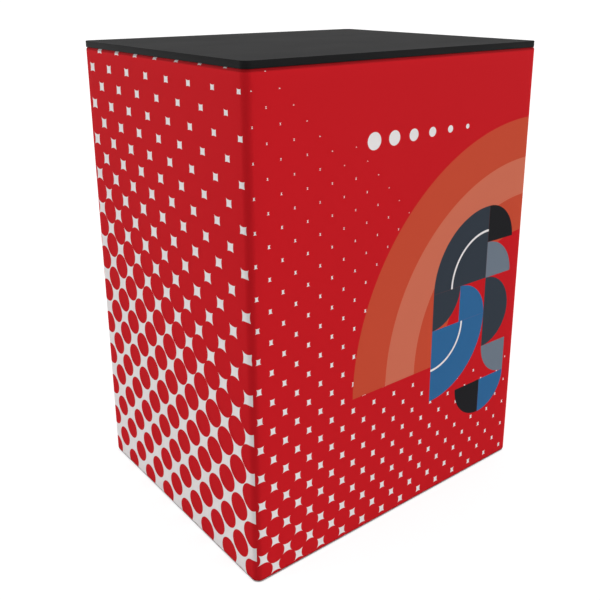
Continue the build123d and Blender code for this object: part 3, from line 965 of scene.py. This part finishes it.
def make_zip():
    """Tapes, interlocked teeth and end stops."""
    gap = 0.4 * MM
    boxes = [((tape_low.x, tape_low.y, tape_low.z), (SEAM_X - gap, tape_high.y, tape_high.z)),
             ((SEAM_X + gap, tape_low.y, tape_low.z), (tape_high.x, tape_high.y, tape_high.z))]
    tapes = soft_slabs("zip_tape_cloth", boxes, 0.15 * MM)
    finish_piece(tapes, "trim_fabric", "frame", black_tape, "zip_tapes")
    chain_low, chain_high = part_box("zip_chain")
    half_width = (chain_high.x - chain_low.x) / 2
    pitch, tooth, overlap, taper = 2.5 * MM, 1.15 * MM, 0.95 * MM, 0.22 * MM
    first_tooth, tooth_face = chain_low.z + 0.15 * MM, chain_high.y - 0.1 * MM
    teeth = []
    for index in range(int((chain_high.z - chain_low.z) / pitch) * 2):
        side = 1 if index % 2 else -1
        z = first_tooth + index * pitch / 2
        outer, inner = SEAM_X + side * half_width, SEAM_X - side * overlap
        x_low, x_high = min(outer, inner), max(outer, inner)
        corners, faces = slab((x_low, chain_low.y, z), (x_high, tooth_face, z + tooth))
        shaped = []
        for x, y, height in corners:
            if y > chain_low.y:
                x += taper if x == x_low else -taper
                height += taper if height == z else -taper
            shaped.append((x, y, height))
        teeth.append((shaped, faces))
    chain = mesh_piece("zip_teeth", teeth)
    finish_piece(chain, "zip", "frame", zip_plastic, "zip_chain")
    low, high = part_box("zip_stops")
    stop_boxes = [((low.x, low.y, low.z), (high.x, high.y, chain_low.z)),
                  ((low.x, low.y, chain_high.z), (high.x, high.y, high.z))]
    stops = soft_slabs("zip_end_stops", stop_boxes, 0.5 * MM)
    finish_piece(stops, "zip_metal", "frame", zip_metal, "zip_stops")


make_zip()


# Flap

FLAP_HEM = 12 * MM
HEM_SLOPE = 0.8 * MM
FOLD_Z = flap_high.z + 0.5 * MM


def ease(share):
    """A smooth step from 0 to 1."""
    share = min(max(share, 0), 1)
    return share * share * (3 - 2 * share)


def flap_depth(x, z):
    """How far out the flap's outer face stands: over the tapes at its edges, slack in its middle."""
    top, fold, hem_rise = seam_strip_low.y + 1.2 * MM, flap_high.y, 0.35 * MM
    y = top + (fold - top) * ease((FOLD_Z + 2 * MM - z) / (11 * MM))
    across = ease((flap_high.x - 34 * MM - abs(x)) / (90 * MM))
    up = ease((z - flap_low.z - 40 * MM) / (120 * MM)) * ease((flap_high.z - 30 * MM - z) / (120 * MM))
    ripple = 0.5 * math.sin(x * 17 + 2.1 * math.sin(z * 6.5)) + 0.35 * math.sin(x * 31 - z * 9 + 1.3)
    y += across * up * (1.1 * MM + 0.9 * MM * ripple)
    edge = min(flap_high.x - abs(x), z - flap_low.z, seam_strip_high.z - z)
    return y + hem_rise * ease((FLAP_HEM - edge) / HEM_SLOPE)


def make_flap():
    """The flap with its sewn strip above the fold, as one cloth."""
    coarse, fold_step, hem_step = 11 * MM, 1.6 * MM, 2.5 * MM
    xs = spaced(flap_low.x + FLAP_HEM, flap_high.x - FLAP_HEM, coarse)
    xs += [flap_low.x, flap_low.x + FLAP_HEM - HEM_SLOPE, flap_high.x, flap_high.x - FLAP_HEM + HEM_SLOPE]
    strip_hem = seam_strip_high.z - FLAP_HEM
    zs = spaced(flap_low.z + FLAP_HEM, flap_high.z - 20 * MM, coarse)
    zs += spaced(flap_high.z - 18 * MM, strip_hem - 2 * MM, fold_step)
    zs += [flap_low.z, flap_low.z + FLAP_HEM - HEM_SLOPE, strip_hem, strip_hem + HEM_SLOPE]
    zs += spaced(strip_hem + 2 * MM, seam_strip_high.z, hem_step)
    xs, zs = sorted(xs, reverse=True), sorted(set(zs))
    points = [(x, flap_depth(x, z), z) for x in xs for z in zs]
    rows = len(zs)
    faces = [(i * rows + j, (i + 1) * rows + j, (i + 1) * rows + j + 1, i * rows + j + 1)
             for i in range(len(xs) - 1) for j in range(rows - 1)]
    cloth = mesh_piece("flap_cloth", [(points, faces)])
    smooth(thicken(cloth, FLAP_FABRIC), 60)
    finish_piece(cloth, "cover_fabric", None, plain_red, "back_flap", "flap_seam_strip")
    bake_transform(cloth)


def make_flap_stitches():
    """Thread round the flap's hem, at its tapes, and along the strip above the fold."""
    inset, strip_inset = 10 * MM, 4 * MM
    low_x, high_x = flap_low.x + inset, flap_high.x - inset
    low_z, high_z = flap_low.z + inset, flap_high.z - 16 * MM
    lines = [((low_x, low_z), (low_x, high_z)), ((high_x, low_z), (high_x, high_z)),
             ((low_x, low_z), (high_x, low_z))]
    for z in (seam_strip_high.z - 2.5 * MM, seam_strip_high.z - 8 * MM):
        lines.append(((flap_low.x + strip_inset, z), (flap_high.x - strip_inset, z)))
    rows = []
    for start, end in lines:
        y = flap_depth((start[0] + end[0]) / 2, (start[1] + end[1]) / 2)
        rows.append(((start[0], y, start[1]), (end[0], y, end[1]), (0, 1, 0)))
    thread = sew("flap_stitches", rows, "cover_fabric", None, red_thread)
    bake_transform(thread)


def make_loop_strips():
    """Loop tape on the flap's inner side."""
    loops = doorway_strips("loop_strips", loop_pile, "loop_tapes", None)
    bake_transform(loops)


def make_pull_tab():
    """The tab, which runs up under the flap's hem."""
    low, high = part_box("flap_tab")
    under_hem = 8 * MM
    tab = soft_slabs("pull_tab", [(low, (high.x, high.y, high.z + under_hem))], 0.3 * MM)
    finish_piece(tab, "trim_fabric", "flap", black_tape, "flap_tab")


make_flap()
make_flap_stitches()
make_loop_strips()
make_pull_tab()


# Counter top

def make_top():
    """The laminate sheet and the edge band round the board."""
    low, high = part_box("top_edge_band")
    half_x, half_y, radius = high.x, high.y, 15 * MM
    band_width, rounding, chamfer = 1 * MM, 0.35 * MM, 0.12 * MM
    band_section = [
        (rounding, low.z), (0.3 * rounding, low.z + 0.3 * rounding), (0, low.z + rounding),
        (0, high.z - rounding), (0.3 * rounding, high.z - 0.3 * rounding), (rounding, high.z),
        (band_width - 0.05 * MM, high.z), (band_width, high.z - 0.1 * MM), (band_width, low.z),
    ]
    band = swept_plate("edge_banding", half_x, half_y, radius, band_section, closed=True)
    finish_piece(band, "edge_band", "top", edge_plastic, "top_edge_band")
    sheet_low, sheet_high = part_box("top_laminate")
    inset = band_width + 0.04 * MM
    sheet_section = [(inset, sheet_low.z), (inset, sheet_high.z - chamfer),
                     (inset + chamfer, sheet_high.z)]
    sheet = swept_plate("laminate_sheet", half_x, half_y, radius, sheet_section)
    finish_piece(sheet, "top_laminate", "top", laminate_face, "top_laminate")


make_top()


# Snap springs

def make_springs():
    """Each snap spring as a piece of its own."""
    for side in ("left", "right"):
        for end in ("front", "back"):
            low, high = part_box(f"lower_post_{side}_{end}")
            net = bmesh.new()
            net.from_mesh(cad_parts["snap_springs"].data)
            away = [v for v in net.verts if not (low.x < v.co.x < high.x and low.y < v.co.y < high.y)]
            bmesh.ops.delete(net, geom=away, context="VERTS")
            spring = net_piece(f"snap_spring_{side}_{end}", net)
            finish_piece(spring, "steel", None, plated_steel, "snap_springs")
            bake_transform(spring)


make_springs()


# Materials of the solids that stay

def dress_solids():
    """Gives each visible solid its material, by the start of its name."""
    groups = [
        (aluminium["x"], ("bottom_rail_front", "bottom_rail_back", "top_rail_front", "top_rail_back")),
        (aluminium["y"], ("bottom_rail_left", "bottom_rail_right", "top_rail_left", "top_rail_right",
                          "shelf_bearer")),
        (aluminium["z"], ("lower_post", "upper_post", "post_ferrules", "frame_rivets")),
        (black_plastic, ("bottom_connector", "top_connector", "bearer_clips", "foot_left", "foot_right")),
        (plated_steel, ("bearer_screws", "locating_pins", "snap_button")),
        (zip_metal, ("zip_slider", "zip_pull")), (soft_grey_plastic, "edge_strips"),
        (brass, "foot_inserts"), (shelf_face, "shelf_board"), (board, "top_board"),
        (laminate_face, "backer_laminate"),
    ]
    for name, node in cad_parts.items():
        if node.hide_render:
            continue
        found = next(material for material, starts in groups if name.startswith(starts))
        node.data.materials.clear()
        node.data.materials.append(found)


dress_solids()


# Camera, light and floor

def add_camera():
    data = bpy.data.cameras.new("camera")
    data.sensor_width = SENSOR_WIDTH
    data.lens = FOCAL_PIXELS / PICTURE_SIZE * SENSOR_WIDTH
    data.shift_x = 0.5 - PRINCIPAL_PIXEL[0] / PICTURE_SIZE
    data.shift_y = PRINCIPAL_PIXEL[1] / PICTURE_SIZE - 0.5
    camera = add_object("camera", data)
    camera.location = CAMERA_PLACE
    view_direction = Vector((
        math.sin(CAMERA_AZIMUTH) * math.cos(CAMERA_ELEVATION),
        math.cos(CAMERA_AZIMUTH) * math.cos(CAMERA_ELEVATION),
        -math.sin(CAMERA_ELEVATION),
    ))
    camera.rotation_mode = "QUATERNION"
    camera.rotation_quaternion = view_direction.to_track_quat("-Z", "Y")
    bpy.context.scene.camera = camera


def seen_as(tree, *kinds):
    """1 on rays of the named kinds, 0 on the rest."""
    rays = add_node(tree, "LightPath")
    seen = 0.0
    for kind in kinds:
        seen = largest(Field(tree, rays.outputs[f"Is {kind} Ray"]), seen)
    return seen


def set_world():
    """The light; the camera, mirrors and glass see plain white instead."""
    world = bpy.data.worlds.new("studio")
    bpy.context.scene.world = world
    world.use_nodes = True
    tree = world.node_tree
    tree.nodes.clear()
    looked_at = add_node(tree, "TexCoord").outputs["Generated"]
    strength = BASE_LIGHT
    for direction, share in ((FROM_RIGHT, 1.0), (FROM_LEFT, LEFT_SHARE)):
        dot = add_node(tree, "VectorMath", {0: looked_at, 1: direction}, operation="DOT_PRODUCT")
        facing = largest(Field(tree, dot.outputs["Value"]), 0.0)
        strength = compute(tree, "POWER", facing, SIDE_LIGHT_SHARPNESS) * (SIDE_LIGHT * share) + strength
    seen = seen_as(tree, "Camera", "Transmission", "Glossy")
    inputs = {"Color": (1, 1, 1, 1), "Strength": strength + seen * (1.0 - strength)}
    background = add_node(tree, "Background", inputs)
    add_node(tree, "OutputWorld", {"Surface": background.outputs[0]})


def add_floor():
    """A large white floor that keeps a faint shadow and otherwise shows as plain white.

    Inside the counter's outline it doesn't glow, so that it looks lit only by what comes in.
    """
    half = FLOOR_HALF
    corners = [(-half, -half, 0), (half, -half, 0), (half, half, 0), (-half, half, 0)]
    floor = mesh_piece("floor", [(corners, [(0, 1, 2, 3)])])
    material = bpy.data.materials.new("floor")
    material.use_nodes = True
    tree = material.node_tree
    tree.nodes.clear()
    place = add_node(tree, "NewGeometry").outputs["Position"]
    position = add_node(tree, "SeparateXYZ", {"Vector": place})
    x, y = Field(tree, position.outputs["X"]), Field(tree, position.outputs["Y"])
    past_x = largest(magnitude(x) - (COVER_HALF_X - COVER_ROUND), 0.0)
    past_y = largest(magnitude(y - COVER_MIDDLE_Y) - (COVER_HALF_Y - COVER_ROUND), 0.0)
    inside = over_zero(COVER_ROUND - FLOOR_INSET - distance(past_x, past_y))
    paleness = inside * (INNER_PALENESS - FLOOR_PALENESS) + FLOOR_PALENESS
    diffuse = add_node(tree, "BsdfDiffuse", {"Color": paleness})
    strength = seen_as(tree, "Camera", "Glossy") * (1.0 - inside) * FLOOR_GLOW
    glow = add_node(tree, "Emission", {"Strength": strength})
    both = add_node(tree, "AddShader", {0: diffuse.outputs[0], 1: glow.outputs[0]})
    add_node(tree, "OutputMaterial", {"Surface": both.outputs[0]})
    floor.data.materials.append(material)


add_camera()
set_world()
add_floor()

bpy.context.scene.view_settings.view_transform = "Standard"
